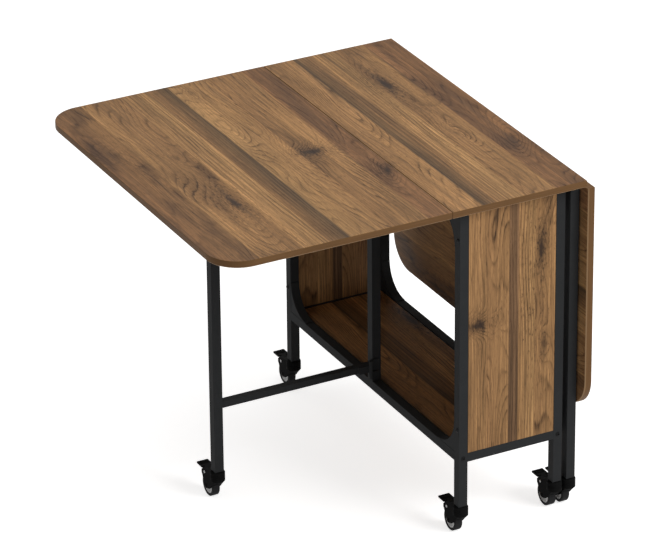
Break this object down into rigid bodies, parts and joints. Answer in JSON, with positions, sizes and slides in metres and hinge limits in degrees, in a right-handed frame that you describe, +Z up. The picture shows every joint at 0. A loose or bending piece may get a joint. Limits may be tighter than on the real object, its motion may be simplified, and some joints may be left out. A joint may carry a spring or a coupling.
{
  "type": "folding drop-leaf table",
  "caption": "Folding drop-leaf dining table on casters: narrow shelved console, one leaf raised on its swing-out gate leg, the other hanging.",
  "frame": {"origin": "middle of the whole table's footprint, on the floor", "axes": "+Z up; +Y along the seams, from the front end to the back end; +X across the seams, from the raised leaf toward the hanging leaf"},
  "size_m": [0.8166, 0.8324, 0.742],
  "materials": {
    "wood_board": "satin wood-grain laminate",
    "black_steel": "matte black powder coat",
    "bolt_steel": "black oxide",
    "hinge_steel": "zinc plated",
    "caster_housing": "black moulded plastic",
    "caster_pedal": "black moulded plastic",
    "caster_hub": "light grey moulded plastic",
    "caster_tread": "dark grey soft tread"
  },
  "bodies": {
    "console": {"fixed_top": "wood_board", "shelf": "wood_board", "front_panel": "wood_board", "back_panel": "wood_board", "post_front_left": "black_steel", "post_front_right": "black_steel", "post_back_left": "black_steel", "post_back_right": "black_steel", "mid_post_left": "black_steel", "mid_post_right": "black_steel", "bottom_rail_left": "black_steel", "bottom_rail_right": "black_steel", "top_rail_left": "black_steel", "top_rail_right": "black_steel", "end_rail_front": "black_steel", "end_rail_back": "black_steel", "gussets_left": "black_steel", "gussets_right": "black_steel", "shelf_bars": "black_steel", "leaf_hinges_fixed_left": "hinge_steel", "leaf_hinges_fixed_right": "hinge_steel", "frame_bolts": "bolt_steel", "console_screws": "hinge_steel"},
    "left_leaf": {"left_leaf": "wood_board", "leaf_hinges_moving_left": "hinge_steel", "left_leaf_screws": "hinge_steel"},
    "right_leaf": {"right_leaf": "wood_board", "leaf_hinges_moving_right": "hinge_steel", "right_leaf_screws": "hinge_steel"},
    "left_gate": {"gate_leg_left": "black_steel", "gate_lower_stretcher_left": "black_steel", "gate_upper_stretcher_left": "black_steel"},
    "right_gate": {"gate_leg_right": "black_steel", "gate_lower_stretcher_right": "black_steel", "gate_upper_stretcher_right": "black_steel"},
    "swivel_front_left": {"caster_fork_front_left": "caster_housing"},
    "wheel_front_left": {"caster_tyre_front_left": "caster_tread", "caster_hub_front_left": "caster_hub"},
    "brake_front_left": {"caster_brake_front_left": "caster_pedal"},
    "swivel_back_left": {"caster_fork_back_left": "caster_housing"},
    "wheel_back_left": {"caster_tyre_back_left": "caster_tread", "caster_hub_back_left": "caster_hub"},
    "brake_back_left": {"caster_brake_back_left": "caster_pedal"},
    "swivel_front_right": {"caster_fork_front_right": "caster_housing"},
    "wheel_front_right": {"caster_tyre_front_right": "caster_tread", "caster_hub_front_right": "caster_hub"},
    "brake_front_right": {"caster_brake_front_right": "caster_pedal"},
    "swivel_back_right": {"caster_fork_back_right": "caster_housing"},
    "wheel_back_right": {"caster_tyre_back_right": "caster_tread", "caster_hub_back_right": "caster_hub"},
    "brake_back_right": {"caster_brake_back_right": "caster_pedal"},
    "swivel_gate_left": {"caster_fork_gate_left": "caster_housing"},
    "wheel_gate_left": {"caster_tyre_gate_left": "caster_tread", "caster_hub_gate_left": "caster_hub"},
    "brake_gate_left": {"caster_brake_gate_left": "caster_pedal"},
    "swivel_gate_right": {"caster_fork_gate_right": "caster_housing"},
    "wheel_gate_right": {"caster_tyre_gate_right": "caster_tread", "caster_hub_gate_right": "caster_hub"},
    "brake_gate_right": {"caster_brake_gate_right": "caster_pedal"}
  },
  "joints": [
    {"name": "left_leaf_lift", "type": "hinge", "parent": "console", "child": "left_leaf", "pos_m": [0.08925, -0.01625, 0.724], "axis": [0, 1, 0], "range_deg": [0, 2.5]},
    {"name": "right_leaf_lift", "type": "hinge", "parent": "console", "child": "right_leaf", "pos_m": [0.39025, -0.01625, 0.724], "axis": [0, -1, 0], "range_deg": [0, 90]},
    {"name": "left_gate_swing", "type": "hinge", "parent": "console", "child": "left_gate", "pos_m": [0.1155, -0.032, 0.45], "axis": [0, 0, -1], "range_deg": [-90, 0]},
    {"name": "right_gate_swing", "type": "hinge", "parent": "console", "child": "right_gate", "pos_m": [0.364, -0.032, 0.45], "axis": [0, 0, 1], "range_deg": [0, 0.5]},
    {"name": "swivel_front_left", "type": "hinge", "parent": "console", "child": "swivel_front_left", "pos_m": [0.13125, -0.37825, 0.06], "axis": [0, 0, -1], "continuous": true},
    {"name": "swivel_back_left", "type": "hinge", "parent": "console", "child": "swivel_back_left", "pos_m": [0.13125, 0.34575, 0.06], "axis": [0, 0, 1], "continuous": true},
    {"name": "swivel_front_right", "type": "hinge", "parent": "console", "child": "swivel_front_right", "pos_m": [0.34825, -0.37825, 0.06], "axis": [0, 0, 1], "range_deg": [0, 180]},
    {"name": "swivel_back_right", "type": "hinge", "parent": "console", "child": "swivel_back_right", "pos_m": [0.34825, 0.34575, 0.06], "axis": [0, 0, 1], "continuous": true},
    {"name": "swivel_gate_left", "type": "hinge", "parent": "left_gate", "child": "swivel_gate_left", "pos_m": [-0.23075, -0.01625, 0.06], "axis": [0, 0, 1], "continuous": true},
    {"name": "swivel_gate_right", "type": "hinge", "parent": "right_gate", "child": "swivel_gate_right", "pos_m": [0.37975, -0.37825, 0.06], "axis": [0, 0, -1], "range_deg": [0, 180]},
    {"name": "roll_front_left", "type": "hinge", "parent": "swivel_front_left", "child": "wheel_front_left", "pos_m": [0.13125, -0.34825, 0.024], "axis": [1, 0, 0], "continuous": true},
    {"name": "roll_back_left", "type": "hinge", "parent": "swivel_back_left", "child": "wheel_back_left", "pos_m": [0.13125, 0.37575, 0.024], "axis": [1, 0, 0], "continuous": true},
    {"name": "roll_front_right", "type": "hinge", "parent": "swivel_front_right", "child": "wheel_front_right", "pos_m": [0.34825, -0.34825, 0.024], "axis": [1, 0, 0], "continuous": true},
    {"name": "roll_back_right", "type": "hinge", "parent": "swivel_back_right", "child": "wheel_back_right", "pos_m": [0.34825, 0.37575, 0.024], "axis": [1, 0, 0], "continuous": true},
    {"name": "roll_gate_left", "type": "hinge", "parent": "swivel_gate_left", "child": "wheel_gate_left", "pos_m": [-0.23075, 0.01375, 0.024], "axis": [1, 0, 0], "continuous": true},
    {"name": "roll_gate_right", "type": "hinge", "parent": "swivel_gate_right", "child": "wheel_gate_right", "pos_m": [0.37975, -0.34825, 0.024], "axis": [1, 0, 0], "continuous": true},
    {"name": "brake_front_left", "type": "hinge", "parent": "swivel_front_left", "child": "brake_front_left", "pos_m": [0.13125, -0.34225, 0.052], "axis": [1, 0, 0], "range_deg": [-8, 0]},
    {"name": "brake_back_left", "type": "hinge", "parent": "swivel_back_left", "child": "brake_back_left", "pos_m": [0.13125, 0.38175, 0.052], "axis": [1, 0, 0], "range_deg": [-8, 0]},
    {"name": "brake_front_right", "type": "hinge", "parent": "swivel_front_right", "child": "brake_front_right", "pos_m": [0.34825, -0.34225, 0.052], "axis": [1, 0, 0], "range_deg": [-8, 0]},
    {"name": "brake_back_right", "type": "hinge", "parent": "swivel_back_right", "child": "brake_back_right", "pos_m": [0.34825, 0.38175, 0.052], "axis": [1, 0, 0], "range_deg": [-8, 0]},
    {"name": "brake_gate_left", "type": "hinge", "parent": "swivel_gate_left", "child": "brake_gate_left", "pos_m": [-0.23075, 0.01975, 0.052], "axis": [1, 0, 0], "range_deg": [-8, 0]},
    {"name": "brake_gate_right", "type": "hinge", "parent": "swivel_gate_right", "child": "brake_gate_right", "pos_m": [0.37975, -0.34225, 0.052], "axis": [1, 0, 0], "range_deg": [-8, 0]}
  ]
}
